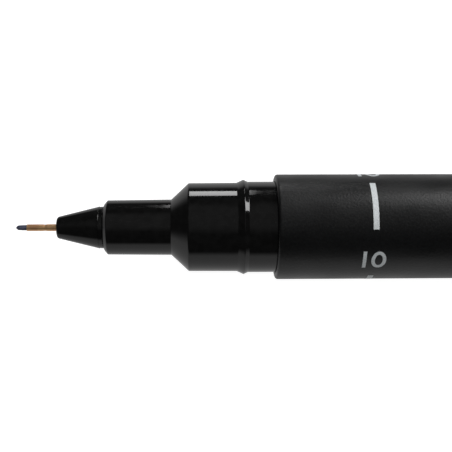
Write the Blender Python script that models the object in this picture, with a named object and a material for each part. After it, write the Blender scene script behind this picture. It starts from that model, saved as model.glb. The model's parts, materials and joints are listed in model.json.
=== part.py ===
"""A technical pen lying on its side, with its cap posted on the tail.

The pen lies along X with its nib toward -X. Three empties carry the pieces: pen_axis holds the
writing end and the barrel, cap_frame holds the cap, and clip_pivot is the root of the spring clip.

Outlines are lists of (distance along the axis, radius, corner radius) in millimetres. Along the
pen the distance is measured from the tip of the nib, and along the cap from its mouth.
"""

import math

import bmesh
import bpy
from mathutils import Matrix, Vector

MM = 0.001
SEGMENTS = 36
FINE_SEGMENTS = 24
ARC_STEPS = 3
SHARP_ANGLE = math.radians(32.0)

# Driving dimensions, in millimetres.
BARREL_RADIUS = 5.5
BARREL_START = 26.93
BARREL_END = 115.6
TAIL_END = 124.55
CAP_LENGTH = 38.5
SLEEVE_START = 1.10
CONE_START = 4.23
SECTION_START = 9.11

# Fits, in millimetres: on the radius between turned pieces, and along the axis between shoulders.
NEEDLE_FIT = 0.015
PRESS_FIT = 0.05
CAP_FIT = 0.1
SEAL_FIT = 0.08
SHOULDER_GAP = 0.1

# Radii of the pieces, and sizes of the counterbore, the vanes and the snap beads.
NIB_RADIUS = 0.26
SLEEVE_RADIUS = 0.365
SLEEVE_BORE = 0.285
FLANGE_RADIUS = 0.5
WICK_RADIUS = 1.0
HOLDER_SPIGOT = 1.70
SECTION_FACE = 2.22
NOSE_RADIUS = 2.90
LAND_RADIUS = 4.74
SEAL_RIDGE = 4.95
CAP_BORE = 4.80
RESERVOIR_RADIUS = 3.80
FILM_RADIUS = 3.94
BARREL_BORE = 4.50
COUNTERBORE = 4.80
COUNTERBORE_DEPTH = 1.0
SPIGOT_RADIUS = BARREL_BORE - PRESS_FIT
VANE_THICKNESS = 0.8
VANE_ROOT = 0.35
BEAD_RADIUS = 4.53
BEAD_HALF_WIDTH = 0.5

# Where the pieces inside the barrel start and stop, from the tip of the nib.
NIB_END = 10.5
HOLDER_END = 15.0
SECTION_END = 36.1
WICK_START = 9.1
WICK_END = 42.4
RESERVOIR_START = 36.5
RESERVOIR_END = 106.3
RIB_START = 38.0
RIB_END = 107.0
PLUG_START = 107.2
FRONT_BEAD = 33.0
REAR_BEAD = 110.5

# The cap, from its mouth.
CAP_MOUTH = BARREL_END + SHOULDER_GAP
CROWN_START = 35.5
CROWN_SPIGOT_LENGTH = 4.0
LINER_START = 9.4
LINER_FLANGE_END = 11.4
LINER_END = 29.9
LINER_BORE = NOSE_RADIUS + SEAL_FIT
LINER_BODY = 3.85
LINER_SEAT = 4.40
CROWN_SEAT = 4.55
SEAL_GROOVE = 3.25
SLOT_DEPTH = 1.1
SLOT_FOOT = 2.6
SLOT_TOP = BARREL_RADIUS + 1.0

# The spring clip, in the cap's own frame: height is measured from the axis.
CLIP_THICKNESS = 0.45
CLIP_ROOT_HALF_WIDTH = 2.1
CLIP_TIP_HALF_WIDTH = 1.6
CLIP_ROOT_HEIGHT = 6.85
CLIP_TONGUE = CROWN_START - 0.42
CLIP_TONGUE_FOOT = 3.9
CLIP_TIP = 1.2
CLIP_PIVOT_HEIGHT = 5.9
SLOT_HALF_WIDTH = CLIP_ROOT_HALF_WIDTH + 0.2

# The pen rests on its barrel and on one edge of the clip, which sets how far the cap is rolled.
CLIP_OUTER_HEIGHT = CLIP_ROOT_HEIGHT + CLIP_THICKNESS / 2
CLIP_CORNER_RADIUS = math.hypot(CLIP_OUTER_HEIGHT, CLIP_ROOT_HALF_WIDTH)
CLIP_HALF_ANGLE = math.atan2(CLIP_ROOT_HALF_WIDTH, CLIP_OUTER_HEIGHT)
CLIP_ROLL = math.acos(BARREL_RADIUS / CLIP_CORNER_RADIUS) + CLIP_HALF_ANGLE
CLIP_REACH = CLIP_CORNER_RADIUS * math.sin(CLIP_ROLL + CLIP_HALF_ANGLE)
OVERALL_LENGTH = CAP_MOUTH + CAP_LENGTH

# Base colour, roughness and metallic value of each material.
LOOKS = {
    "barrel_black": ((0.012, 0.013, 0.014, 1.0), 0.55, 0.0),
    "section_black": ((0.010, 0.010, 0.011, 1.0), 0.16, 0.0),
    "plug_black": ((0.015, 0.015, 0.016, 1.0), 0.40, 0.0),
    "liner_grey": ((0.30, 0.31, 0.32, 1.0), 0.45, 0.0),
    "sleeve_brass": ((0.62, 0.42, 0.24, 1.0), 0.28, 1.0),
    "nib_slate": ((0.045, 0.050, 0.085, 1.0), 0.50, 0.0),
    "clip_steel": ((0.60, 0.60, 0.61, 1.0), 0.22, 1.0),
    "fibre_white": ((0.62, 0.62, 0.60, 1.0), 0.95, 0.0),
    "film_clear": ((0.55, 0.57, 0.60, 1.0), 0.20, 0.0),
}


def clear_scene():
    """Start from an empty scene."""
    for old in list(bpy.data.objects):
        bpy.data.objects.remove(old, do_unlink=True)


def make_look(name):
    """Principled material for one entry of LOOKS."""
    colour, roughness, metallic = LOOKS[name]
    look = bpy.data.materials.new(name)
    look.use_nodes = True
    shader = look.node_tree.nodes["Principled BSDF"]
    shader.inputs["Base Color"].default_value = colour
    shader.inputs["Roughness"].default_value = roughness
    shader.inputs["Metallic"].default_value = metallic
    look.diffuse_color = colour
    return look


def make_empty(name, parent, location, roll=0.0):
    """Empty at a place given in millimetres in its parent's frame, rolled about X."""
    empty = bpy.data.objects.new(name, None)
    bpy.context.scene.collection.objects.link(empty)
    empty.parent = parent
    empty.location = Vector(location) * MM
    empty.rotation_euler = (roll, 0.0, 0.0)
    return empty


def make_object(name, bm, parent, look=None):
    """Turn a bmesh into a smooth-shaded object under its parent."""
    bmesh.ops.recalc_face_normals(bm, faces=bm.faces)
    mesh = bpy.data.meshes.new(name)
    bm.to_mesh(mesh)
    bm.free()
    mesh.shade_smooth()
    mesh.set_sharp_from_angle(angle=SHARP_ANGLE)
    if look is not None:
        mesh.materials.append(look)
    piece = bpy.data.objects.new(name, mesh)
    bpy.context.scene.collection.objects.link(piece)
    piece.parent = parent
    return piece


def rounded(corners, steps=ARC_STEPS):
    """Replace each (x, y, radius) corner that has a radius by an arc tangent to both its sides."""
    points = []
    count = len(corners)
    for index, (x, y, radius) in enumerate(corners):
        corner = Vector((x, y))
        if radius <= 0.0:
            points.append(corner)
            continue
        before = (Vector(corners[index - 1][:2]) - corner).normalized()
        after = (Vector(corners[(index + 1) % count][:2]) - corner).normalized()
        half_angle = before.angle(after) / 2
        centre = corner + (before + after).normalized() * (radius / math.sin(half_angle))
        first = corner + before * (radius / math.tan(half_angle)) - centre
        sweep = -first.angle_signed(corner + after * (radius / math.tan(half_angle)) - centre)
        for step in range(steps + 1):
            points.append(centre + Matrix.Rotation(sweep * step / steps, 2) @ first)
    return points


def turned(name, corners, parent, look, segments=SEGMENTS):
    """Spin an outline once about X; an outline that starts and ends on the axis is left open there."""
    outline = rounded(corners)
    bm = bmesh.new()
    verts = [bm.verts.new((point.x * MM, 0.0, point.y * MM)) for point in outline]
    edges = [bm.edges.new(pair) for pair in zip(verts, verts[1:])]
    if outline[0].y > 0.0:
        edges.append(bm.edges.new((verts[-1], verts[0])))
    bmesh.ops.spin(
        bm, geom=verts + edges, cent=(0.0, 0.0, 0.0), axis=(1.0, 0.0, 0.0),
        angle=math.tau, steps=segments, use_merge=True,
    )
    bmesh.ops.remove_doubles(bm, verts=bm.verts, dist=1e-7)
    return make_object(name, bm, parent, look)


def add_block(bm, low, high, roll=0.0):
    """Add a box between two corners, given in millimetres and rolled about X."""
    low = Vector(low) * MM
    high = Vector(high) * MM
    size = Matrix.Diagonal((high - low).to_4d())
    place = Matrix.Rotation(roll, 4, "X") @ Matrix.Translation((low + high) / 2) @ size
    bmesh.ops.create_cube(bm, size=1.0, matrix=place)


def cut_or_join(piece, tool, operation):
    """Combine a piece with a hidden tool by an exact Boolean."""
    tool.hide_render = True
    tool.display_type = "WIRE"
    modifier = piece.modifiers.new(tool.name, "BOOLEAN")
    modifier.operation = operation
    modifier.solver = "EXACT"
    modifier.object = tool


def add_vanes(piece, name, count, span, radii):
    """Join radial vanes to a turned piece, spread evenly about its axis."""
    bm = bmesh.new()
    for index in range(count):
        low = (span[0], -VANE_THICKNESS / 2, radii[0])
        high = (span[1], VANE_THICKNESS / 2, radii[1])
        add_block(bm, low, high, math.tau * (index + 0.5) / count)
    cut_or_join(piece, make_object(name, bm, piece.parent), "UNION")


def cut_block(piece, name, low, high):
    """Cut a rectangular notch out of a turned piece."""
    bm = bmesh.new()
    add_block(bm, low, high)
    cut_or_join(piece, make_object(name, bm, piece.parent), "DIFFERENCE")


def nib_core(parent, look):
    """The plastic writing point, a fine rod with a rounded end."""
    worn_edge = 0.16
    corners = [
        (0.0, 0.0, 0.0),
        (0.0, NIB_RADIUS, worn_edge),
        (NIB_END, NIB_RADIUS, 0.0),
        (NIB_END, 0.0, 0.0),
    ]
    return turned("nib_core", corners, parent, look, FINE_SEGMENTS)


def nib_sleeve(parent, look):
    """The brass tube round the point, crimped near its mouth and flanged at its root."""
    crimp = 3.0
    crimp_half_width = 0.21
    crimp_depth = 0.055
    front_radius = SLEEVE_RADIUS - 0.02
    front_edge = 0.035
    root = 7.55
    flange = 0.35
    corners = [
        (SLEEVE_START, SLEEVE_BORE, 0.0),
        (SLEEVE_START, front_radius, front_edge),
        (crimp - crimp_half_width, front_radius, 0.0),
        (crimp, front_radius - crimp_depth, 0.0),
        (crimp + crimp_half_width, SLEEVE_RADIUS, 0.0),
        (root, SLEEVE_RADIUS, 0.0),
        (root, FLANGE_RADIUS, 0.0),
        (root + flange, FLANGE_RADIUS, 0.0),
        (root + flange, SLEEVE_BORE, 0.0),
    ]
    return turned("nib_sleeve", corners, parent, look, FINE_SEGMENTS)


def tip_holder(parent, look):
    """The cone that carries the sleeve, with a neck and a spigot that holds the feed wick."""
    cone_end = 8.66
    small_radius = 1.10
    large_radius = 2.21
    nose_rounding = 0.3
    neck_radius = large_radius - 0.06
    neck_end = SECTION_START - PRESS_FIT
    sleeve_seat = 7.5
    wick_seat = WICK_START - PRESS_FIT
    sleeve_bore = SLEEVE_RADIUS + NEEDLE_FIT
    wick_socket = WICK_RADIUS + PRESS_FIT
    corners = [
        (CONE_START, sleeve_bore, 0.0),
        (CONE_START, small_radius, nose_rounding),
        (cone_end, large_radius, 0.0),
        (cone_end, neck_radius, 0.0),
        (neck_end, neck_radius, 0.0),
        (neck_end, HOLDER_SPIGOT, 0.0),
        (HOLDER_END, HOLDER_SPIGOT, 0.0),
        (HOLDER_END, wick_socket, 0.0),
        (wick_seat, wick_socket, 0.0),
        (wick_seat, FLANGE_RADIUS + PRESS_FIT, 0.0),
        (sleeve_seat, FLANGE_RADIUS + PRESS_FIT, 0.0),
        (sleeve_seat, sleeve_bore, 0.0),
    ]
    return turned("tip_holder", corners, parent, look)


def front_section(parent, look):
    """The gloss nose: thin grip, 45 degree shoulder, seal ridge and the spigot in the barrel."""
    nose_edge = 0.39
    nose_end = 16.12
    shoulder = 17.93
    shoulder_radius = 4.60
    shoulder_rounding = 0.25
    ridge = 23.63
    ridge_front = ridge - 0.7
    ridge_back = ridge + 0.45
    seat = BARREL_START + COUNTERBORE_DEPTH - PRESS_FIT
    holder_bore = HOLDER_SPIGOT + PRESS_FIT
    throat = WICK_RADIUS + 0.15
    throat_start = HOLDER_END + 0.2
    throat_end = throat_start + 3.0
    chamber = 3.5
    chamber_start = throat_end + 1.4
    corners = [
        (SECTION_START, holder_bore, 0.0),
        (SECTION_START, SECTION_FACE, 0.0),
        (SECTION_START + nose_edge, NOSE_RADIUS - 0.08, 0.0),
        (nose_end, NOSE_RADIUS, 0.0),
        (shoulder, shoulder_radius, shoulder_rounding),
        (ridge_front, shoulder_radius + 0.03, 0.0),
        (ridge, SEAL_RIDGE, 0.1),
        (ridge_back, LAND_RADIUS, 0.0),
        (seat, LAND_RADIUS, 0.0),
        (seat, SPIGOT_RADIUS, 0.0),
        (FRONT_BEAD - BEAD_HALF_WIDTH, SPIGOT_RADIUS, 0.0),
        (FRONT_BEAD, BEAD_RADIUS, 0.0),
        (FRONT_BEAD + BEAD_HALF_WIDTH, SPIGOT_RADIUS, 0.0),
        (SECTION_END, SPIGOT_RADIUS, 0.0),
        (SECTION_END, chamber, 0.0),
        (chamber_start, chamber, 0.0),
        (throat_end, throat, 0.0),
        (throat_start, throat, 0.0),
        (throat_start, holder_bore, 0.0),
    ]
    return turned("front_section", corners, parent, look)


def feed_wick(parent, look):
    """The fibre rod that carries ink from the reservoir to the point."""
    socket = NIB_RADIUS + 0.04
    socket_end = NIB_END + 0.2
    corners = [
        (socket_end, 0.0, 0.0),
        (socket_end, socket, 0.0),
        (WICK_START, socket, 0.0),
        (WICK_START, WICK_RADIUS, 0.0),
        (WICK_END, WICK_RADIUS, 0.0),
        (WICK_END, 0.0, 0.0),
    ]
    return turned("feed_wick", corners, parent, look, FINE_SEGMENTS)


def ink_reservoir(parent, look):
    """The fibre bundle that holds the ink, with a blind hole for the feed wick."""
    socket = WICK_RADIUS + PRESS_FIT
    socket_end = WICK_END + 0.6
    soft_edge = 0.2
    corners = [
        (socket_end, 0.0, 0.0),
        (socket_end, socket, 0.0),
        (RESERVOIR_START, socket, 0.0),
        (RESERVOIR_START, RESERVOIR_RADIUS, soft_edge),
        (RESERVOIR_END, RESERVOIR_RADIUS, soft_edge),
        (RESERVOIR_END, 0.0, 0.0),
    ]
    return turned("ink_reservoir", corners, parent, look)


def reservoir_film(parent, look):
    """The thin tube wrapped round the fibre bundle."""
    overhang = 0.2
    start = RESERVOIR_START - overhang
    end = RESERVOIR_END + overhang
    inside = RESERVOIR_RADIUS + PRESS_FIT
    corners = [
        (start, inside, 0.0),
        (start, FILM_RADIUS, 0.0),
        (end, FILM_RADIUS, 0.0),
        (end, inside, 0.0),
    ]
    return turned("reservoir_film", corners, parent, look)


def barrel(parent, look):
    """The matte barrel: a tube with a counterbore and a bead groove at each end, ribbed inside."""
    edge = 0.2
    groove = BEAD_RADIUS + 0.09
    front_seat = BARREL_START + COUNTERBORE_DEPTH
    rear_seat = BARREL_END - COUNTERBORE_DEPTH
    corners = [
        (BARREL_START, COUNTERBORE, 0.0),
        (BARREL_START, BARREL_RADIUS, edge),
        (BARREL_END, BARREL_RADIUS, edge),
        (BARREL_END, COUNTERBORE, 0.0),
        (rear_seat, COUNTERBORE, 0.0),
        (rear_seat, BARREL_BORE, 0.0),
        (REAR_BEAD + BEAD_HALF_WIDTH, BARREL_BORE, 0.0),
        (REAR_BEAD, groove, 0.0),
        (REAR_BEAD - BEAD_HALF_WIDTH, BARREL_BORE, 0.0),
        (FRONT_BEAD + BEAD_HALF_WIDTH, BARREL_BORE, 0.0),
        (FRONT_BEAD, groove, 0.0),
        (FRONT_BEAD - BEAD_HALF_WIDTH, BARREL_BORE, 0.0),
        (front_seat, BARREL_BORE, 0.0),
        (front_seat, COUNTERBORE, 0.0),
    ]
    piece = turned("barrel", corners, parent, look)
    rib_radii = (FILM_RADIUS + PRESS_FIT, (BARREL_BORE + BARREL_RADIUS) / 2)
    add_vanes(piece, "barrel_rib_tool", 6, (RIB_START, RIB_END), rib_radii)
    return piece


def tail_plug(parent, look):
    """The plug that closes the barrel; the part that stands out is the seat for the posted cap."""
    seat = CAP_BORE - CAP_FIT
    snap = seat + 0.06
    snap_place = CAP_MOUTH + SEAL_GROOVE
    snap_half_width = 0.6
    end_wall = TAIL_END - 1.65
    hollow = 3.5
    collar_start = BARREL_END - COUNTERBORE_DEPTH + PRESS_FIT
    corners = [
        (end_wall, 0.0, 0.0),
        (end_wall, hollow, 0.0),
        (PLUG_START, hollow, 0.0),
        (PLUG_START, SPIGOT_RADIUS, 0.0),
        (REAR_BEAD - BEAD_HALF_WIDTH, SPIGOT_RADIUS, 0.0),
        (REAR_BEAD, BEAD_RADIUS, 0.0),
        (REAR_BEAD + BEAD_HALF_WIDTH, SPIGOT_RADIUS, 0.0),
        (collar_start, SPIGOT_RADIUS, 0.0),
        (collar_start, seat, 0.0),
        (snap_place - snap_half_width, seat, 0.0),
        (snap_place, snap, 0.0),
        (snap_place + snap_half_width, seat, 0.0),
        (TAIL_END, seat, 0.6),
        (TAIL_END, 0.0, 0.0),
    ]
    piece = turned("tail_plug", corners, parent, look)
    vane_span = (PLUG_START - 0.4, end_wall + VANE_ROOT)
    add_vanes(piece, "plug_vane_tool", 4, vane_span, (1.2, hollow + VANE_ROOT))
    return piece


def cap_shell(parent, look):
    """The outer cap: a tube stepped inside for the section, the inner cap and the crown."""
    groove = SEAL_RIDGE + 0.06
    groove_half_width = 0.4
    groove_side = 0.4
    liner_shoulder = LINER_FLANGE_END + SHOULDER_GAP
    crown_shoulder = CROWN_START - CROWN_SPIGOT_LENGTH - SHOULDER_GAP
    rim = CROWN_START - PRESS_FIT
    corners = [
        (0.0, CAP_BORE, 0.0),
        (0.0, BARREL_RADIUS, 0.2),
        (rim, BARREL_RADIUS, 0.1),
        (rim, CROWN_SEAT, 0.0),
        (crown_shoulder, CROWN_SEAT, 0.0),
        (crown_shoulder, LINER_SEAT, 0.0),
        (liner_shoulder, LINER_SEAT, 0.0),
        (liner_shoulder, CAP_BORE, 0.0),
        (SEAL_GROOVE + groove_half_width + groove_side, CAP_BORE, 0.0),
        (SEAL_GROOVE + groove_half_width, groove, 0.0),
        (SEAL_GROOVE - groove_half_width, groove, 0.0),
        (SEAL_GROOVE - groove_half_width - groove_side, CAP_BORE, 0.0),
    ]
    piece = turned("cap_shell", corners, parent, look)
    low = (CROWN_START - SLOT_DEPTH, -SLOT_HALF_WIDTH, SLOT_FOOT)
    high = (CROWN_START + SLOT_DEPTH, SLOT_HALF_WIDTH, SLOT_TOP)
    cut_block(piece, "clip_slot_tool", low, high)
    return piece


def inner_cap(parent, look):
    """The liner that seals on the nose when the pen is capped, with four fins that centre it."""
    closed_end = LINER_END - 0.9
    funnel_radius = 4.2
    funnel_end = LINER_START + 1.3
    corners = [
        (closed_end, 0.0, 0.0),
        (closed_end, LINER_BORE, 0.0),
        (funnel_end, LINER_BORE, 0.0),
        (LINER_START, funnel_radius, 0.0),
        (LINER_START, LAND_RADIUS, 0.0),
        (LINER_FLANGE_END, LAND_RADIUS, 0.0),
        (LINER_FLANGE_END, LINER_BODY, 0.0),
        (LINER_END, LINER_BODY, 0.3),
        (LINER_END, 0.0, 0.0),
    ]
    piece = turned("inner_cap", corners, parent, look)
    fin_span = (LINER_FLANGE_END + 0.6, LINER_END - 1.5)
    fin_radii = (LINER_BODY - VANE_ROOT, LINER_SEAT - CAP_FIT)
    add_vanes(piece, "liner_fin_tool", 4, fin_span, fin_radii)
    return piece


def cap_crown(parent, look):
    """The plug that closes the cap; its spigot is notched for the tongue of the clip."""
    spigot = CROWN_SEAT - PRESS_FIT
    spigot_start = CROWN_START - CROWN_SPIGOT_LENGTH
    hollow = 3.6
    hollow_end = CROWN_START + 1.5
    head_start = CROWN_START + PRESS_FIT
    corners = [
        (hollow_end, 0.0, 0.0),
        (hollow_end, hollow, 0.0),
        (spigot_start, hollow, 0.0),
        (spigot_start, spigot, 0.0),
        (head_start, spigot, 0.0),
        (head_start, BARREL_RADIUS, 0.1),
        (CAP_LENGTH, BARREL_RADIUS, 0.35),
        (CAP_LENGTH, 0.0, 0.0),
    ]
    piece = turned("cap_crown", corners, parent, look)
    low = (CROWN_START - SLOT_DEPTH, -SLOT_HALF_WIDTH, SLOT_FOOT)
    high = (head_start, SLOT_HALF_WIDTH, SLOT_TOP)
    cut_block(piece, "crown_slot_tool", low, high)
    return piece


def clip_path():
    """Middle line of the clip from its tongue to its tip, as (distance from the mouth, height)."""
    arm_end = 8.2
    touch = 4.5
    touch_height = BARREL_RADIUS + CLIP_THICKNESS / 2 + PRESS_FIT
    corners = [
        (CLIP_TONGUE, CLIP_TONGUE_FOOT, 0.0),
        (CLIP_TONGUE, CLIP_ROOT_HEIGHT, 0.6),
        (arm_end, CLIP_ROOT_HEIGHT - 0.2, 4.0),
        (touch, touch_height, 1.2),
        (CLIP_TIP, CLIP_ROOT_HEIGHT, 0.0),
    ]
    path = rounded(corners, steps=4)
    flare_start = path[-2]
    flare_end = path.pop()
    steps = 4
    return path + [flare_start.lerp(flare_end, (k + 1) / steps) for k in range(steps)]


def clip_half_width(place):
    """Half width of the clip, which tapers to a rounded tip."""
    blunt = 0.25
    taper = (CLIP_TONGUE - place) / (CLIP_TONGUE - CLIP_TIP)
    straight = CLIP_ROOT_HALF_WIDTH + (CLIP_TIP_HALF_WIDTH - CLIP_ROOT_HALF_WIDTH) * taper
    from_tip = min(place - CLIP_TIP + blunt, CLIP_TIP_HALF_WIDTH)
    along = 1.0 - from_tip / CLIP_TIP_HALF_WIDTH
    return straight * math.sqrt(1.0 - along * along)


def clip(parent, look):
    """The spring clip: a steel strip bent up out of the cap and down to touch it near the mouth."""
    path = clip_path()
    bm = bmesh.new()
    rings = []
    for index, point in enumerate(path):
        ahead = path[min(index + 1, len(path) - 1)] - path[max(index - 1, 0)]
        normal = Vector((-ahead.y, ahead.x)).normalized() * CLIP_THICKNESS / 2
        half_width = clip_half_width(point.x)
        verts = []
        for side, level in ((-1, -1), (1, -1), (1, 1), (-1, 1)):
            edge = point + normal * level
            place = (edge.x - CLIP_TONGUE, side * half_width, edge.y - CLIP_PIVOT_HEIGHT)
            verts.append(bm.verts.new(Vector(place) * MM))
        rings.append([bm.edges.new((verts[k], verts[(k + 1) % 4])) for k in range(4)])
    for near, far in zip(rings, rings[1:]):
        bmesh.ops.bridge_loops(bm, edges=near + far)
    bmesh.ops.holes_fill(bm, edges=rings[0] + rings[-1], sides=4)
    return make_object("clip", bm, parent, look)


def build():
    """Model every piece of the pen."""
    clear_scene()
    looks = {name: make_look(name) for name in LOOKS}

    side_step = (CLIP_REACH - BARREL_RADIUS) / 2
    pen_axis = make_empty("pen_axis", None, (-OVERALL_LENGTH / 2, side_step, BARREL_RADIUS))
    cap_frame = make_empty("cap_frame", pen_axis, (CAP_MOUTH, 0.0, 0.0), math.pi - CLIP_ROLL)
    clip_pivot = make_empty("clip_pivot", cap_frame, (CLIP_TONGUE, 0.0, CLIP_PIVOT_HEIGHT))

    nib_core(pen_axis, looks["nib_slate"])
    nib_sleeve(pen_axis, looks["sleeve_brass"])
    tip_holder(pen_axis, looks["section_black"])
    front_section(pen_axis, looks["section_black"])
    feed_wick(pen_axis, looks["fibre_white"])
    ink_reservoir(pen_axis, looks["fibre_white"])
    reservoir_film(pen_axis, looks["film_clear"])
    barrel(pen_axis, looks["barrel_black"])
    tail_plug(pen_axis, looks["plug_black"])
    inner_cap(cap_frame, looks["liner_grey"])
    cap_shell(cap_frame, looks["barrel_black"])
    cap_crown(cap_frame, looks["plug_black"])
    clip(clip_pivot, looks["clip_steel"])
    bpy.context.view_layer.update()


build()
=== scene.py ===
"""Looks of the technical pen: finely turned pieces, printed marks, materials, light and camera.

Outlines are lists of (distance, radius, corner radius) in millimetres. The distance is measured
from the nib side of the CAD node that the piece replaces, and the radius from the pen's axis.
"""

import json
import math

import bmesh
import bpy
from mathutils import Matrix, Vector


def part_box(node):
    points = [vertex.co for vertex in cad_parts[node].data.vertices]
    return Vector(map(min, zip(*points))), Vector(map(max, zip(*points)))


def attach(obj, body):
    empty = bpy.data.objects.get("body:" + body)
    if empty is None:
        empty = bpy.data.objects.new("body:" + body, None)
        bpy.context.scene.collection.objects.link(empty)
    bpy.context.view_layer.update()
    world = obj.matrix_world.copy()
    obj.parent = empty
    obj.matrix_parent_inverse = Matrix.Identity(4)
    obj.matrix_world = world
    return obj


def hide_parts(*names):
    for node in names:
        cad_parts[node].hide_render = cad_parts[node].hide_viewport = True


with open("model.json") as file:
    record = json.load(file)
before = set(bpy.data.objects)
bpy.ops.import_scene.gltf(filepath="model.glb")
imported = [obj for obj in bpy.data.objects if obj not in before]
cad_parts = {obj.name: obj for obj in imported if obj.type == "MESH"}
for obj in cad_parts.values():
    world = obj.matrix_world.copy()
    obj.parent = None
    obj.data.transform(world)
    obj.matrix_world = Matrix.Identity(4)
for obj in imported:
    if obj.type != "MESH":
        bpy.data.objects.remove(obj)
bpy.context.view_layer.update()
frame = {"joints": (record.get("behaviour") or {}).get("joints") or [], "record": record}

MM = 0.001
ROUND = 144
FINE_ROUND = 64
BARREL_ROUND = 192
ARC_STEPS = 5
EDGE_SUPPORT = 0.03
SHARP_ANGLE = math.radians(40.0)
PRINT_THICKNESS = 0.012

RECORD = frame["record"]
BODIES = RECORD["behaviour"]["bodies"]
BODY_OF = {node: body for body, nodes in BODIES.items() for node in nodes}
JOINTS = {joint["name"]: joint for joint in frame["joints"]}

BARREL_LOW, BARREL_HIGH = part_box("barrel")
AXIS_Y = (BARREL_LOW.y + BARREL_HIGH.y) / 2
AXIS_Z = (BARREL_LOW.z + BARREL_HIGH.z) / 2
BARREL_RADIUS = (BARREL_HIGH.z - BARREL_LOW.z) / 2 / MM
SKIN_RADIUS = BARREL_RADIUS - PRINT_THICKNESS
CLIP_AXIS = Vector(JOINTS["clip_flex"]["axis"])
CAP_ROLL = math.atan2(CLIP_AXIS.z, CLIP_AXIS.y)

# The view: the camera looks down at the pen's axis, a little toward the tail. Lengths are in
# millimetres, and the target is measured from the tip of the nib.
CAMERA_TARGET = 21.83
CAMERA_DISTANCE = 96.5
CAMERA_ELEVATION = math.radians(65.0)
CAMERA_YAW = math.radians(1.6)
CAMERA_ROLL = math.radians(0.22)
CAMERA_LIFT = 0.10
VIEW_WIDTH = 47.36


# ---------------------------------------------------------------- shapes


def rounded(corners, steps=ARC_STEPS):
    """Replace each (x, y, radius) corner that has a radius by an arc tangent to both its sides."""
    points = []
    count = len(corners)
    for index, (x, y, radius) in enumerate(corners):
        corner = Vector((x, y))
        if radius <= 0.0:
            points.append(corner)
            continue
        before = (Vector(corners[index - 1][:2]) - corner).normalized()
        after = (Vector(corners[(index + 1) % count][:2]) - corner).normalized()
        half_angle = before.angle(after) / 2
        centre = corner + (before + after).normalized() * (radius / math.sin(half_angle))
        first = corner + before * (radius / math.tan(half_angle)) - centre
        sweep = -first.angle_signed(corner + after * (radius / math.tan(half_angle)) - centre)
        for step in range(steps + 1):
            points.append(centre + Matrix.Rotation(sweep * step / steps, 2) @ first)
    return points


def supported(points, closed):
    """Add a point close to each end of every long side, so that smooth shading stays true."""
    result = []
    count = len(points)
    for index, point in enumerate(points):
        result.append(point)
        if index == count - 1 and not closed:
            break
        ahead = points[(index + 1) % count]
        length = (ahead - point).length
        if length > 4 * EDGE_SUPPORT:
            result.append(point.lerp(ahead, EDGE_SUPPORT / length))
            result.append(point.lerp(ahead, 1.0 - EDGE_SUPPORT / length))
    return result


def link(name, mesh):
    """Add a mesh to the scene as an object."""
    piece = bpy.data.objects.new(name, mesh)
    bpy.context.scene.collection.objects.link(piece)
    return piece


def finish_mesh(name, bm, look):
    """Turn a bmesh into a smooth-shaded object with one material."""
    bmesh.ops.recalc_face_normals(bm, faces=bm.faces)
    mesh = bpy.data.meshes.new(name)
    bm.to_mesh(mesh)
    bm.free()
    mesh.shade_smooth()
    mesh.set_sharp_from_angle(angle=SHARP_ANGLE)
    mesh.materials.append(look)
    return link(name, mesh)


def stand_for(piece, node):
    """Let a piece replace a CAD node: put it on the node's body and hide the node."""
    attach(piece, BODY_OF[node])
    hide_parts(node)
    return piece


def turned(name, node, corners, look, segments=ROUND):
    """Spin an outline once about the pen's axis, starting where its CAD node starts."""
    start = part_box(node)[0].x
    closed = corners[0][1] > 0.0
    outline = supported(rounded(corners), closed)
    bm = bmesh.new()
    verts = [bm.verts.new((start + p.x * MM, 0.0, p.y * MM)) for p in outline]
    edges = [bm.edges.new(pair) for pair in zip(verts, verts[1:])]
    if closed:
        edges.append(bm.edges.new((verts[-1], verts[0])))
    bmesh.ops.spin(
        bm, geom=verts + edges, cent=(0.0, 0.0, 0.0), axis=(1.0, 0.0, 0.0),
        angle=math.tau, steps=segments, use_merge=True,
    )
    bmesh.ops.remove_doubles(bm, verts=bm.verts, dist=1e-7)
    bmesh.ops.translate(bm, verts=bm.verts, vec=(0.0, AXIS_Y, AXIS_Z))
    return stand_for(finish_mesh(name, bm, look), node)


# ---------------------------------------------------------------- materials


def new_look(name, colour, roughness, metallic=0.0):
    """Principled material; returns the material, its node tree and its shader."""
    look = bpy.data.materials.new(name)
    look.use_nodes = True
    shader = look.node_tree.nodes["Principled BSDF"]
    shader.inputs["Base Color"].default_value = (*colour, 1.0)
    shader.inputs["Roughness"].default_value = roughness
    shader.inputs["Metallic"].default_value = metallic
    return look, look.node_tree, shader


def object_noise(tree, scale, detail=2.0, stretch=(1.0, 1.0, 1.0)):
    """Noise in the object's own coordinates; scale is in cells per metre."""
    place = tree.nodes.new("ShaderNodeTexCoord")
    mapping = tree.nodes.new("ShaderNodeMapping")
    mapping.inputs["Scale"].default_value = stretch
    noise = tree.nodes.new("ShaderNodeTexNoise")
    noise.inputs["Scale"].default_value = scale
    noise.inputs["Detail"].default_value = detail
    tree.links.new(place.outputs["Object"], mapping.inputs["Vector"])
    tree.links.new(mapping.outputs["Vector"], noise.inputs["Vector"])
    return noise


def vary(tree, noise, socket, low, high, span=(0.35, 0.65)):
    """Drive a number between two values by a noise."""
    spread = tree.nodes.new("ShaderNodeMapRange")
    spread.inputs["From Min"].default_value = span[0]
    spread.inputs["From Max"].default_value = span[1]
    spread.inputs["To Min"].default_value = low
    spread.inputs["To Max"].default_value = high
    tree.links.new(noise.outputs["Fac"], spread.inputs["Value"])
    tree.links.new(spread.outputs["Result"], socket)


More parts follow.
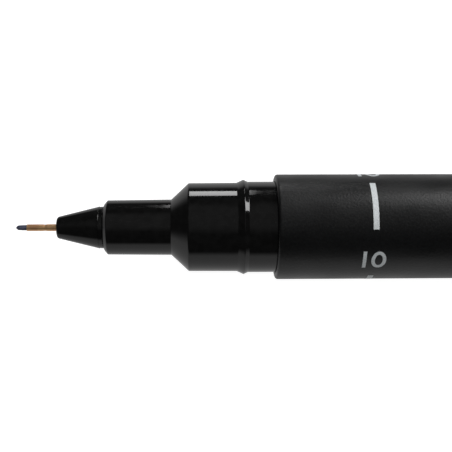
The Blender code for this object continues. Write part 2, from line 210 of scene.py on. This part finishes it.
def blend_colours(tree, noise, socket, dark, light, span=(0.35, 0.65)):
    """Drive a colour between two values by a noise."""
    ramp = tree.nodes.new("ShaderNodeValToRGB")
    ramp.color_ramp.elements[0].position = span[0]
    ramp.color_ramp.elements[1].position = span[1]
    ramp.color_ramp.elements[0].color = (*dark, 1.0)
    ramp.color_ramp.elements[1].color = (*light, 1.0)
    tree.links.new(noise.outputs["Fac"], ramp.inputs["Fac"])
    tree.links.new(ramp.outputs["Color"], socket)


def add_bump(tree, shader, noise, height, strength=1.0):
    """Raise the surface by a noise; height is in millimetres."""
    bump = tree.nodes.new("ShaderNodeBump")
    bump.inputs["Strength"].default_value = strength
    bump.inputs["Distance"].default_value = height * MM
    tree.links.new(noise.outputs["Fac"], bump.inputs["Height"])
    earlier = shader.inputs["Normal"].links
    if earlier:
        tree.links.new(earlier[0].from_socket, bump.inputs["Normal"])
    tree.links.new(bump.outputs["Normal"], shader.inputs["Normal"])


def barrel_look():
    """Matte black plastic with the fine grain of a spark-eroded mould."""
    look, tree, shader = new_look("matte_black", (0.003, 0.003, 0.003), 0.38)
    grain = object_noise(tree, 4200.0, 3.0)
    add_bump(tree, shader, grain, 0.026, 0.7)
    patches = object_noise(tree, 260.0, 2.0)
    vary(tree, patches, shader.inputs["Roughness"], 0.34, 0.42)
    specks = object_noise(tree, 5200.0, 1.0)
    dark = (0.0015, 0.0015, 0.0018)
    light = (0.0040, 0.0043, 0.0045)
    blend_colours(tree, specks, shader.inputs["Base Color"], dark, light)
    return look


def section_look():
    """Gloss black moulded plastic, very slightly wavy."""
    look, tree, shader = new_look("gloss_black", (0.003, 0.003, 0.003), 0.08)
    shader.inputs["IOR"].default_value = 1.5
    waves = object_noise(tree, 420.0, 1.0, (0.35, 1.0, 1.0))
    add_bump(tree, shader, waves, 0.004, 0.4)
    haze = object_noise(tree, 1500.0, 3.0)
    vary(tree, haze, shader.inputs["Roughness"], 0.06, 0.10)
    blend_colours(
        tree, haze, shader.inputs["Base Color"], (0.002, 0.002, 0.002), (0.004, 0.004, 0.004)
    )
    return look


def satin_look():
    """Satin black plastic of the plug and the crown."""
    look, tree, shader = new_look("satin_black", (0.014, 0.014, 0.015), 0.32)
    haze = object_noise(tree, 1800.0, 3.0)
    vary(tree, haze, shader.inputs["Roughness"], 0.27, 0.38)
    add_bump(tree, shader, object_noise(tree, 5000.0, 2.0), 0.006, 0.4)
    return look


def sleeve_look():
    """Coppery brass tube with fine drawing lines along it."""
    look, tree, shader = new_look("coppery_brass", (0.88, 0.53, 0.27), 0.38, 0.9)
    lines = object_noise(tree, 9000.0, 2.0, (0.06, 1.0, 1.0))
    add_bump(tree, shader, lines, 0.004, 0.5)
    tarnish = object_noise(tree, 1600.0, 3.0)
    blend_colours(
        tree, tarnish, shader.inputs["Base Color"], (0.82, 0.45, 0.24), (0.95, 0.61, 0.31)
    )
    vary(tree, tarnish, shader.inputs["Roughness"], 0.32, 0.44)
    return look


def nib_look():
    """Ink-stained dark slate plastic of the writing point."""
    look, tree, shader = new_look("slate_nib", (0.045, 0.048, 0.080), 0.5)
    stain = object_noise(tree, 5200.0, 3.0, (0.5, 1.0, 1.0))
    blend_colours(
        tree, stain, shader.inputs["Base Color"], (0.028, 0.030, 0.055), (0.085, 0.090, 0.135)
    )
    add_bump(tree, shader, object_noise(tree, 16000.0, 2.0), 0.006, 0.5)
    return look


def print_look():
    """White pad-printed ink, thin enough to show the grain under it."""
    look, tree, shader = new_look("white_ink", (0.58, 0.60, 0.60), 0.45)
    cover = object_noise(tree, 6500.0, 3.0)
    blend_colours(
        tree, cover, shader.inputs["Base Color"], (0.50, 0.53, 0.54), (0.63, 0.66, 0.67)
    )
    add_bump(tree, shader, object_noise(tree, 7500.0, 3.0), 0.008, 0.5)
    return look


def steel_look():
    """Nickel-plated spring steel, brushed along its length."""
    look, tree, shader = new_look("nickel_steel", (0.60, 0.59, 0.57), 0.24, 1.0)
    brushing = object_noise(tree, 6000.0, 3.0, (0.04, 1.0, 1.0))
    add_bump(tree, shader, brushing, 0.004, 0.4)
    vary(tree, brushing, shader.inputs["Roughness"], 0.18, 0.34)
    return look


def liner_look():
    """Translucent grey-white polyethylene of the inner cap."""
    look, tree, shader = new_look("milky_liner", (0.52, 0.54, 0.55), 0.42)
    shader.inputs["Subsurface Weight"].default_value = 0.25
    shader.inputs["Subsurface Radius"].default_value = (0.001, 0.001, 0.001)
    cloud = object_noise(tree, 700.0, 3.0)
    blend_colours(
        tree, cloud, shader.inputs["Base Color"], (0.46, 0.48, 0.49), (0.60, 0.61, 0.62)
    )
    return look


def fibre_look():
    """Bonded white fibre, streaked along the pen and stained by ink."""
    look, tree, shader = new_look("ink_fibre", (0.62, 0.62, 0.60), 0.95)
    streaks = object_noise(tree, 5000.0, 3.0, (0.03, 1.0, 1.0))
    add_bump(tree, shader, streaks, 0.05, 0.6)
    stain = object_noise(tree, 160.0, 4.0, (0.5, 1.0, 1.0))
    blend_colours(
        tree, stain, shader.inputs["Base Color"], (0.10, 0.10, 0.13), (0.66, 0.66, 0.64)
    )
    return look


def film_look():
    """Thin clear film round the reservoir."""
    look, tree, shader = new_look("clear_film", (0.86, 0.88, 0.90), 0.12)
    shader.inputs["Transmission Weight"].default_value = 0.85
    shader.inputs["Alpha"].default_value = 0.5
    creases = object_noise(tree, 900.0, 2.0, (0.1, 1.0, 1.0))
    vary(tree, creases, shader.inputs["Roughness"], 0.08, 0.22)
    return look


# ---------------------------------------------------------------- the writing end


def nib_point(look):
    """The writing point, worn to a bullet shape."""
    length = 10.5
    corners = [
        (0.0, 0.0, 0.0),
        (0.0, 0.11, 0.06),
        (0.22, 0.25, 0.16),
        (0.75, 0.28, 0.3),
        (length, 0.28, 0.0),
        (length, 0.0, 0.0),
    ]
    return turned("nib_point", "nib_core", corners, look, FINE_ROUND)


def sleeve_tube(look):
    """The brass tube with its rolled mouth, crimp ring and flange."""
    bore = 0.285
    front = 0.352
    rear = 0.365
    crimp = 1.90
    root = 6.45
    corners = [
        (0.0, bore, 0.015),
        (0.0, front, 0.035),
        (crimp - 0.22, front, 0.1),
        (crimp - 0.06, front - 0.025, 0.06),
        (crimp + 0.06, front - 0.025, 0.06),
        (crimp + 0.22, rear, 0.1),
        (root, rear, 0.0),
        (root, 0.5, 0.03),
        (root + 0.35, 0.5, 0.03),
        (root + 0.35, bore, 0.0),
    ]
    return turned("sleeve_tube", "nib_sleeve", corners, look, FINE_ROUND)


def tip_cone(look):
    """The cone that holds the sleeve, with a lip and a shallow neck behind it."""
    corners = [
        (0.0, 0.38, 0.03),
        (0.0, 1.10, 0.30),
        (4.26, 2.155, 0.0),
        (4.40, 2.205, 0.05),
        (4.44, 2.165, 0.02),
        (4.83, 2.185, 0.02),
        (4.83, 1.70, 0.0),
        (10.77, 1.70, 0.1),
        (10.77, 1.05, 0.0),
        (4.82, 1.05, 0.0),
        (4.82, 0.55, 0.0),
        (3.27, 0.55, 0.0),
        (3.27, 0.38, 0.0),
    ]
    return turned("tip_cone", "tip_holder", corners, look, FINE_ROUND * 2)


def section_body(look):
    """The gloss nose: thin grip, 45 degree shoulder, seal ridge and the spigot in the barrel."""
    corners = [
        (0.0, 1.75, 0.0),
        (0.0, 2.22, 0.02),
        (0.09, 2.46, 0.14),
        (0.41, 2.83, 0.14),
        (7.01, 2.90, 0.06),
        (8.82, 4.60, 0.25),
        (13.82, 4.63, 0.35),
        (14.52, 4.95, 0.12),
        (14.97, 4.74, 0.10),
        (18.77, 4.74, 0.0),
        (18.77, 4.45, 0.0),
        (23.39, 4.45, 0.0),
        (23.89, 4.53, 0.2),
        (24.39, 4.45, 0.0),
        (26.99, 4.45, 0.15),
        (26.99, 3.5, 0.0),
        (10.49, 3.5, 0.0),
        (9.09, 1.15, 0.0),
        (6.09, 1.15, 0.0),
        (6.09, 1.75, 0.0),
    ]
    return turned("section_body", "front_section", corners, look)


# ---------------------------------------------------------------- the ink store and the tail


def wick_rod(look):
    """The fibre rod that carries the ink, with the point's socket in its front end."""
    corners = [
        (1.6, 0.0, 0.0),
        (1.6, 0.30, 0.0),
        (0.0, 0.30, 0.03),
        (0.0, 1.0, 0.08),
        (33.3, 1.0, 0.08),
        (33.3, 0.0, 0.0),
    ]
    return turned("wick_rod", "feed_wick", corners, look, FINE_ROUND)


def fibre_bundle(look):
    """The fibre bundle that stores the ink, with a blind hole for the wick."""
    corners = [
        (6.5, 0.0, 0.0),
        (6.5, 1.05, 0.0),
        (0.0, 1.05, 0.04),
        (0.0, 3.80, 0.2),
        (69.8, 3.80, 0.2),
        (69.8, 0.0, 0.0),
    ]
    return turned("fibre_bundle", "ink_reservoir", corners, look, FINE_ROUND * 2)


def film_tube(look):
    """The thin tube wrapped round the fibre bundle."""
    corners = [(0.0, 3.85, 0.0), (0.0, 3.94, 0.02), (70.2, 3.94, 0.02), (70.2, 3.85, 0.0)]
    return turned("film_tube", "reservoir_film", corners, look, FINE_ROUND * 2)


def fin_set(count, span, radii, roll):
    """Radial fins with bevelled edges; span is along the pen in metres, radii in millimetres."""
    thickness = 0.8
    edge = 0.08
    height = radii[1] - radii[0]
    size = Matrix.Diagonal((span[1] - span[0], thickness * MM, height * MM, 1.0))
    bm = bmesh.new()
    for index in range(count):
        middle = Vector(((span[0] + span[1]) / 2, 0.0, (radii[0] + radii[1]) / 2 * MM))
        turn = Matrix.Rotation(math.tau * (index + 0.5) / count + roll, 4, "X")
        bmesh.ops.create_cube(bm, size=1.0, matrix=turn @ Matrix.Translation(middle) @ size)
    bmesh.ops.bevel(
        bm, geom=bm.edges[:], offset=edge * MM, offset_type="OFFSET", segments=2,
        affect="EDGES", profile=0.5,
    )
    return bm


def combine(piece, bm, operation):
    """Join a tool to a piece, or cut it away, and keep the result as plain mesh."""
    bmesh.ops.translate(bm, verts=bm.verts, vec=(0.0, AXIS_Y, AXIS_Z))
    mesh = bpy.data.meshes.new("tool")
    bm.to_mesh(mesh)
    bm.free()
    tool = link("tool", mesh)
    modifier = piece.modifiers.new("tool", "BOOLEAN")
    modifier.operation = operation
    modifier.solver = "EXACT"
    modifier.object = tool
    graph = bpy.context.evaluated_depsgraph_get()
    joined = bpy.data.meshes.new_from_object(piece.evaluated_get(graph))
    piece.modifiers.clear()
    bpy.data.objects.remove(tool)
    bpy.data.meshes.remove(mesh)
    piece.data = joined
    joined.shade_smooth()
    joined.set_sharp_from_angle(angle=SHARP_ANGLE)


def tail_end(look):
    """The plug that closes the barrel: spigot, seat for the posted cap, snap bead and vanes."""
    corners = [
        (16.1, 0.0, 0.0),
        (16.1, 3.5, 0.3),
        (0.4, 3.5, 0.0),
        (0.4, 4.45, 0.12),
        (3.2, 4.45, 0.0),
        (3.7, 4.53, 0.2),
        (4.2, 4.45, 0.0),
        (7.85, 4.45, 0.0),
        (7.85, 4.70, 0.05),
        (11.55, 4.70, 0.4),
        (12.15, 4.76, 0.4),
        (12.75, 4.70, 0.4),
        (17.75, 4.70, 0.6),
        (17.75, 2.60, 0.10),
        (17.55, 2.50, 0.08),
        (17.55, 0.0, 0.0),
    ]
    piece = turned("tail_end", "tail_plug", corners, look)
    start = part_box("tail_plug")[0].x
    combine(piece, fin_set(4, (start, start + 16.4 * MM), (1.2, 3.8), 0.0), "UNION")
    return piece


# ---------------------------------------------------------------- the cap


def liner_cup(look):
    """The inner cap that seals on the nose: funnel, bore and centring fins."""
    corners = [
        (19.6, 0.0, 0.0),
        (19.6, 2.98, 0.3),
        (1.3, 2.98, 0.2),
        (0.0, 4.20, 0.05),
        (0.0, 4.74, 0.1),
        (2.0, 4.74, 0.1),
        (2.0, 3.85, 0.1),
        (20.5, 3.85, 0.3),
        (20.5, 0.0, 0.0),
    ]
    piece = turned("liner_cup", "inner_cap", corners, look)
    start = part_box("inner_cap")[0].x
    span = (start + 2.6 * MM, start + 19.0 * MM)
    combine(piece, fin_set(4, span, (3.5, 4.28), CAP_ROLL), "UNION")
    return piece


def clip_notch():
    """The slot that the clip's tongue passes through, in the rim of the cap and in its crown."""
    crown_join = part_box("cap_crown")[0].x + 4.0 * MM
    depth = 1.1 * MM
    overcut = 0.05 * MM
    half_width = 2.3 * MM
    low = 2.6 * MM
    high = (BARREL_RADIUS + 1.0) * MM
    size = Matrix.Diagonal((depth + overcut, 2 * half_width, high - low, 1.0))
    middle = Vector((crown_join + (overcut - depth) / 2, 0.0, (low + high) / 2))
    bm = bmesh.new()
    turn = Matrix.Rotation(CAP_ROLL, 4, "X")
    bmesh.ops.create_cube(bm, size=1.0, matrix=turn @ Matrix.Translation(middle) @ size)
    return bm


def cap_tube(look):
    """The outer cap, stepped inside, with the groove that grips the seal ridge."""
    corners = [
        (0.0, 4.80, 0.15),
        (0.0, SKIN_RADIUS, 0.22),
        (35.45, SKIN_RADIUS, 0.12),
        (35.45, 4.55, 0.0),
        (31.4, 4.55, 0.0),
        (31.4, 4.40, 0.0),
        (11.5, 4.40, 0.0),
        (11.5, 4.80, 0.0),
        (4.05, 4.80, 0.0),
        (3.65, 5.01, 0.1),
        (2.85, 5.01, 0.1),
        (2.45, 4.80, 0.0),
    ]
    piece = turned("cap_tube", "cap_shell", corners, look, BARREL_ROUND)
    combine(piece, clip_notch(), "DIFFERENCE")
    return piece


def crown_plug(look):
    """The plug that closes the cap, with a shallow dished face."""
    corners = [
        (5.5, 0.0, 0.0),
        (5.5, 3.6, 0.2),
        (0.0, 3.6, 0.05),
        (0.0, 4.50, 0.15),
        (4.05, 4.50, 0.0),
        (4.05, SKIN_RADIUS, 0.1),
        (7.0, SKIN_RADIUS, 0.40),
        (7.0, 4.30, 0.06),
        (6.90, 4.20, 0.06),
        (6.90, 0.0, 0.0),
    ]
    piece = turned("crown_plug", "cap_crown", corners, look)
    combine(piece, clip_notch(), "DIFFERENCE")
    return piece


# The spring clip, in millimetres. Its places are measured from the cap's mouth.
CLIP_SHEET = 0.45
CLIP_ROOT_HALF = 2.1
CLIP_TIP_HALF = 1.6
CLIP_TONGUE_PLACE = 35.08
CLIP_TIP_PLACE = 1.2
CLIP_ARCH = 0.14
CLIP_EDGE = 0.12


def clip_middle_line():
    """Middle line of the clip from tongue to tip, as (distance from the cap's mouth, height)."""
    corners = [
        (CLIP_TONGUE_PLACE, 3.9, 0.0),
        (CLIP_TONGUE_PLACE, 6.85, 0.6),
        (8.2, 6.65, 4.0),
        (4.5, 5.775, 1.2),
        (CLIP_TIP_PLACE, 6.85, 0.0),
    ]
    arc_steps = 8
    longest_step = 0.4
    path = rounded(corners, arc_steps)
    line = []
    for start, end in zip(path, path[1:]):
        line += [Vector(point) for point in run(start, end, longest_step)][:-1]
    return line + [path[-1]]


def clip_half(place):
    """Half width of the clip, tapering to a rounded tip."""
    blunt = 0.25
    taper = (CLIP_TONGUE_PLACE - place) / (CLIP_TONGUE_PLACE - CLIP_TIP_PLACE)
    straight = CLIP_ROOT_HALF + (CLIP_TIP_HALF - CLIP_ROOT_HALF) * taper
    from_tip = min(place - CLIP_TIP_PLACE + blunt, CLIP_TIP_HALF)
    along = 1.0 - from_tip / CLIP_TIP_HALF
    return straight * math.sqrt(max(0.0, 1.0 - along * along))


def clip_section(half, arch):
    """Closed outline of the strip across its length: arched, with rounded long edges."""
    flat = half - CLIP_EDGE
    droop = arch * (flat / CLIP_ROOT_HALF) ** 2
    across = 10
    rim = 4
    outline = []
    for side in (1, -1):
        for k in range(across + 1):
            y = side * flat * (2 * k / across - 1)
            outline.append((y, side * CLIP_SHEET / 2 - arch * (y / CLIP_ROOT_HALF) ** 2))
        for k in range(1, rim):
            angle = math.pi * k / rim
            swell = math.sin(angle) * CLIP_EDGE
            height = math.cos(angle) * CLIP_SHEET / 2
            outline.append((side * (flat + swell), side * height - droop))
    return outline


def spring_clip(look):
    """The spring clip: an arched steel strip bent out of the cap and down to touch it."""
    slot_length = 0.5
    arch_length = 3.0
    line = clip_middle_line()
    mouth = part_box("cap_shell")[0].x / MM
    bm = bmesh.new()
    rings = []
    for index, point in enumerate(line):
        ahead = line[min(index + 1, len(line) - 1)] - line[max(index - 1, 0)]
        normal = Vector((-ahead.y, ahead.x)).normalized()
        beyond = CLIP_TONGUE_PLACE - slot_length - point.x
        out_of_slot = min(1.0, max(0.0, beyond / arch_length))
        arch = CLIP_ARCH * out_of_slot * out_of_slot * (3 - 2 * out_of_slot)
        verts = []
        for y, level in clip_section(clip_half(point.x), arch):
            place = point + normal * level
            verts.append(bm.verts.new(Vector((mouth + place.x, y, place.y)) * MM))
        rings.append(verts)
    count = len(rings[0])
    for near, far in zip(rings, rings[1:]):
        for k in range(count):
            ahead = (k + 1) % count
            bm.faces.new((near[k], near[ahead], far[ahead], far[k]))
    bm.faces.new(rings[0])
    bm.faces.new(rings[-1])
    roll = Matrix.Rotation(CAP_ROLL, 3, "X")
    bmesh.ops.rotate(bm, verts=bm.verts, cent=(0.0, 0.0, 0.0), matrix=roll)
    bmesh.ops.translate(bm, verts=bm.verts, vec=(0.0, AXIS_Y, AXIS_Z))
    return stand_for(finish_mesh("spring_clip", bm, look), "clip")


# ---------------------------------------------------------------- the barrel and its print


def barrel_tube(look):
    """The matte barrel with a softly rounded edge at each end."""
    length = (BARREL_HIGH.x - BARREL_LOW.x) / MM
    edge = 0.28
    corners = [
        (0.0, 4.80, 0.05),
        (0.0, SKIN_RADIUS, edge),
        (length, SKIN_RADIUS, edge),
        (length, 4.80, 0.05),
        (length - 1.0, 4.80, 0.0),
        (length - 1.0, 4.50, 0.0),
        (length - 4.60, 4.50, 0.0),
        (length - 5.10, 4.62, 0.0),
        (length - 5.60, 4.50, 0.0),
        (6.57, 4.50, 0.0),
        (6.07, 4.62, 0.0),
        (5.57, 4.50, 0.0),
        (1.0, 4.50, 0.0),
        (1.0, 4.80, 0.0),
    ]
    return turned("barrel_tube", "barrel", corners, look, BARREL_ROUND)


# The print. Lengths are in millimetres, and its place is measured from the barrel's front edge.
# PRINT_FACING is counted round the pen's axis from -Y over the top, the other angles from it.
PRINT_FACING = math.radians(65.0)
PRINT_PLACE = 9.71
PRINT_STEP = 0.1
DASH_WIDTH = 0.58
DASH_TOP = math.radians(53.4)
DASH_BOTTOM = math.radians(-3.2)
NUMBER_TOP = math.radians(-27.3)
NUMBER_HEIGHT = 2.1
NUMBER_STROKE = 0.36
REPEATS = 3


def add_strip(bm, left, right, closed=False):
    """Add faces between two rows of flat points of equal length."""
    rows = [[bm.verts.new((x, y, 0.0)) for x, y in row] for row in (left, right)]
    count = len(left)
    for index in range(count if closed else count - 1):
        ahead = (index + 1) % count
        bm.faces.new((rows[0][index], rows[0][ahead], rows[1][ahead], rows[1][index]))


def run(start, end, step=PRINT_STEP):
    """Points from start to end, both included, no further apart than step."""
    start = Vector(start)
    end = Vector(end)
    count = max(1, math.ceil((end - start).length / step))
    return [tuple(start.lerp(end, k / count)) for k in range(count + 1)]


def oval(centre, half_width, half_height, steps=72):
    """Points round an ellipse."""
    points = []
    for step in range(steps):
        angle = math.tau * step / steps
        across = half_width * math.cos(angle)
        points.append((centre[0] + across, centre[1] + half_height * math.sin(angle)))
    return points


def add_nought(bm, left):
    """A plain upright nought, its foot on the base line; returns its right side."""
    half_width = 0.75
    half_height = NUMBER_HEIGHT / 2
    centre = (left + half_width, half_height)
    outer = oval(centre, half_width, half_height)
    inner = oval(centre, half_width - NUMBER_STROKE, half_height - NUMBER_STROKE)
    add_strip(bm, outer, inner, closed=True)
    return left + 2 * half_width


def add_one(bm, left):
    """A plain upright one, a bare bar; returns its right side."""
    right = left + NUMBER_STROKE
    sides = [run((x, 0.0), (x, NUMBER_HEIGHT)) for x in (left, right)]
    add_strip(bm, *sides)
    return right


def add_number(bm):
    """A generic upright number, as on a dial, read along the pen."""
    gap = 0.5
    flat = bmesh.new()
    width = add_nought(flat, add_one(flat, 0.0) + gap)
    for vert in flat.verts:
        vert.co.x -= width / 2
        vert.co.y += NUMBER_TOP * BARREL_RADIUS - NUMBER_HEIGHT
    mesh = bpy.data.meshes.new("number_flat")
    flat.to_mesh(mesh)
    flat.free()
    bm.from_mesh(mesh)
    bpy.data.meshes.remove(mesh)


def add_dash(bm):
    """One third of the broken ring."""
    low = DASH_BOTTOM * BARREL_RADIUS
    high = DASH_TOP * BARREL_RADIUS
    left = run((-DASH_WIDTH / 2, low), (-DASH_WIDTH / 2, high))
    add_strip(bm, left, [(x + DASH_WIDTH, y) for x, y in left])


def size_marks(look):
    """White print round the barrel: dashes and generic numbers, three of each."""
    bm = bmesh.new()
    add_dash(bm)
    add_number(bm)
    grown = bmesh.ops.extrude_face_region(bm, geom=bm.faces[:])["geom"]
    for vert in (item for item in grown if isinstance(item, bmesh.types.BMVert)):
        vert.co.z += 2 * PRINT_THICKNESS
    whole = bmesh.new()
    mesh = bpy.data.meshes.new("marks_flat")
    bm.to_mesh(mesh)
    bm.free()
    for repeat in range(REPEATS):
        first = len(whole.verts)
        whole.from_mesh(mesh)
        whole.verts.ensure_lookup_table()
        for vert in whole.verts[first:]:
            radius = (SKIN_RADIUS - PRINT_THICKNESS + vert.co.z) * MM
            angle = vert.co.y / BARREL_RADIUS + PRINT_FACING + math.tau * repeat / REPEATS
            x = BARREL_LOW.x + (PRINT_PLACE + vert.co.x) * MM
            vert.co = (x, AXIS_Y - radius * math.cos(angle), AXIS_Z + radius * math.sin(angle))
    bpy.data.meshes.remove(mesh)
    piece = finish_mesh("size_marks", whole, look)
    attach(piece, BODY_OF["barrel"])
    return piece


# ---------------------------------------------------------------- stage, light and camera


# The plain grey room, as (height of the line of sight, brightness): a pale table, dark walls and a
# dim ceiling.
ROOM = [(-0.3, 0.5), (0.0, 0.04), (0.7, 0.04), (0.95, 0.15)]

# The stage, in metres.
STAGE_RADIUS = 2.0
FLOOR_DROP = 0.00002


def soft_card(name, place, target, size, power, seen_in_gloss=True):
    """White soft box: an area light whose face is turned to the target."""
    data = bpy.data.lights.new(name, "AREA")
    data.shape = "RECTANGLE"
    data.size = size[0]
    data.size_y = size[1]
    data.energy = power
    light = bpy.data.objects.new(name, data)
    bpy.context.scene.collection.objects.link(light)
    light.location = place
    light.rotation_euler = (Vector(target) - Vector(place)).to_track_quat("-Z", "Y").to_euler()
    light.visible_camera = False
    light.visible_glossy = seen_in_gloss


def around(degrees, distance, x):
    """Point at an angle about the pen's axis, counted from -Y over the top to +Y."""
    angle = math.radians(degrees)
    return Vector((x, AXIS_Y - distance * math.cos(angle), AXIS_Z + distance * math.sin(angle)))


def surroundings():
    """A plain grey room that changes with height only."""
    world = bpy.data.worlds.new("studio")
    bpy.context.scene.world = world
    world.use_nodes = True
    tree = world.node_tree
    place = tree.nodes.new("ShaderNodeTexCoord")
    split = tree.nodes.new("ShaderNodeSeparateXYZ")
    height = tree.nodes.new("ShaderNodeMapRange")
    height.inputs["From Min"].default_value = -1.0
    ramp = tree.nodes.new("ShaderNodeValToRGB")
    ramp.color_ramp.interpolation = "EASE"
    elements = ramp.color_ramp.elements
    while len(elements) < len(ROOM):
        elements.new(0.5)
    for element, (level, grey) in zip(elements, ROOM):
        element.position = (level + 1.0) / 2
        element.color = (grey, grey, grey, 1.0)
    tree.links.new(place.outputs["Generated"], split.inputs["Vector"])
    tree.links.new(split.outputs["Z"], height.inputs["Value"])
    tree.links.new(height.outputs["Result"], ramp.inputs["Fac"])
    tree.links.new(ramp.outputs["Color"], tree.nodes["Background"].inputs["Color"])


def plain_white(name, mesh, glow, tint):
    """Stage object that only the camera sees: mostly its own glow, with a trace of shadow."""
    look = bpy.data.materials.new(name)
    look.use_nodes = True
    tree = look.node_tree
    shader = tree.nodes["Principled BSDF"]
    shader.inputs["Base Color"].default_value = (tint, tint, tint, 1.0)
    shader.inputs["Roughness"].default_value = 1.0
    shader.inputs["Specular IOR Level"].default_value = 0.0
    shader.inputs["Emission Color"].default_value = (1.0, 1.0, 1.0, 1.0)
    shader.inputs["Emission Strength"].default_value = glow
    mesh.materials.append(look)
    piece = link(name, mesh)
    piece.visible_diffuse = False
    piece.visible_glossy = False
    piece.visible_transmission = False
    piece.visible_shadow = False
    return piece


def stage():
    """Pale floor under the pen and a pale dome behind everything."""
    floor_mesh = bpy.data.meshes.new("floor")
    bm = bmesh.new()
    bmesh.ops.create_circle(bm, cap_ends=True, radius=STAGE_RADIUS, segments=96)
    bm.to_mesh(floor_mesh)
    bm.free()
    floor = plain_white("floor", floor_mesh, glow=0.98, tint=0.3)
    floor.location.z = -FLOOR_DROP
    dome_mesh = bpy.data.meshes.new("dome")
    bm = bmesh.new()
    bmesh.ops.create_icosphere(bm, subdivisions=4, radius=STAGE_RADIUS)
    bm.to_mesh(dome_mesh)
    bm.free()
    plain_white("dome", dome_mesh, glow=1.1, tint=0.0)


def lights():
    """Three soft boxes round the barrel's front edge, in degrees, metres and watts."""
    front = BARREL_LOW.x
    target = Vector((front, AXIS_Y, AXIS_Z))
    overhead = around(88, 0.6, front)
    behind = around(162, 0.5, front - 0.005)
    tail_side = around(130, 0.7, front + 0.5)
    soft_card("overhead", overhead, target, size=(0.4, 0.4), power=2.0, seen_in_gloss=False)
    soft_card("behind", behind, target, size=(0.055, 0.15), power=0.18)
    soft_card("tail_side", tail_side, target, size=(0.50, 0.36), power=4.5)


def camera():
    """The camera, turned and rolled as the CAMERA values say."""
    data = bpy.data.cameras.new("camera")
    data.sensor_width = 36.0
    data.lens = data.sensor_width * CAMERA_DISTANCE / VIEW_WIDTH
    data.clip_start = 0.001
    view = bpy.data.objects.new("camera", data)
    bpy.context.scene.collection.objects.link(view)
    nib_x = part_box("nib_core")[0].x
    target = Vector((nib_x + CAMERA_TARGET * MM, AXIS_Y, AXIS_Z))
    back = Vector((0.0, -math.cos(CAMERA_ELEVATION), math.sin(CAMERA_ELEVATION)))
    back = back * math.cos(CAMERA_YAW) - Vector((math.sin(CAMERA_YAW), 0.0, 0.0))
    right = (Vector((1.0, 0.0, 0.0)) - back * back.x).normalized()
    up = back.cross(right)
    view.location = target + back * (CAMERA_DISTANCE * MM) + up * (CAMERA_LIFT * MM)
    facing = Matrix((right, up, back)).transposed()
    view.rotation_euler = (facing @ Matrix.Rotation(-CAMERA_ROLL, 3, "Z")).to_euler()
    bpy.context.scene.camera = view


# ---------------------------------------------------------------- everything together

gloss = section_look()
matte = barrel_look()
satin = satin_look()
fibre = fibre_look()

nib_point(nib_look())
sleeve_tube(sleeve_look())
tip_cone(gloss)
section_body(gloss)
wick_rod(fibre)
fibre_bundle(fibre)
film_tube(film_look())
barrel_tube(matte)
size_marks(print_look())
tail_end(satin)
liner_cup(liner_look())
cap_tube(matte)
crown_plug(satin)
spring_clip(steel_look())

surroundings()
stage()
lights()
camera()
bpy.context.scene.view_settings.view_transform = "Standard"
